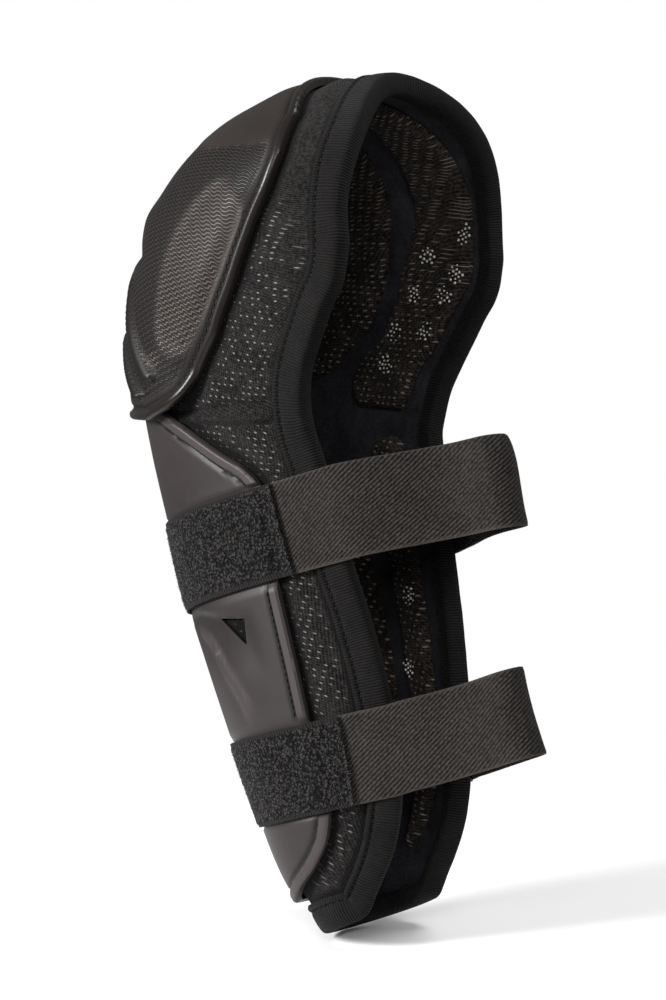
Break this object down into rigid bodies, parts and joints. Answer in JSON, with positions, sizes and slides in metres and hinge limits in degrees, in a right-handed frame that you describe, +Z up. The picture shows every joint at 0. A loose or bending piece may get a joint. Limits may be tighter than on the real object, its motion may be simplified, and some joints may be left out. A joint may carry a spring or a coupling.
{
  "type": "knee guard",
  "caption": "Knee and shin guard in its worn form: padded mesh body, moulded knee cap and shin plate, and elastic straps fastened on loop tape.",
  "frame": {"origin": "centre of the knee inside the guard, where the leg carries it", "axes": "+Z up along the standing leg, -Y the front of the knee, +Y the open back, +X the wearer's left"},
  "size_m": [0.1404, 0.2205, 0.389],
  "materials": {
    "knit_mesh": "black air mesh, knitted, with small pale eyelets",
    "binding_tape": "black ribbed binding tape, matte",
    "cap_moulding": "dark brown-grey moulding, satin to glossy, with fine wave lines",
    "plate_moulding": "brown-grey moulding, smooth satin",
    "loop_pile": "black loop pile tape",
    "elastic_web": "charcoal twill elastic webbing",
    "hook_moulding": "black hook patch",
    "liner_mesh": "black lining mesh over soft foam"
  },
  "bodies": {
    "root": {"padded_body": "knit_mesh", "edge_binding": "binding_tape", "knee_cap": "cap_moulding", "shin_plate": "plate_moulding", "loop_tape_upper": "loop_pile", "loop_tape_lower": "loop_pile", "strap_upper": "elastic_web", "strap_lower": "elastic_web", "hook_tab_upper": "hook_moulding", "hook_tab_lower": "hook_moulding", "liner_knee_pad": "liner_mesh", "liner_shin_pad": "liner_mesh", "liner_side_pad_left": "liner_mesh", "liner_side_pad_right": "liner_mesh", "liner_calf_pad_left": "liner_mesh", "liner_calf_pad_right": "liner_mesh"}
  },
  "joints": []
}
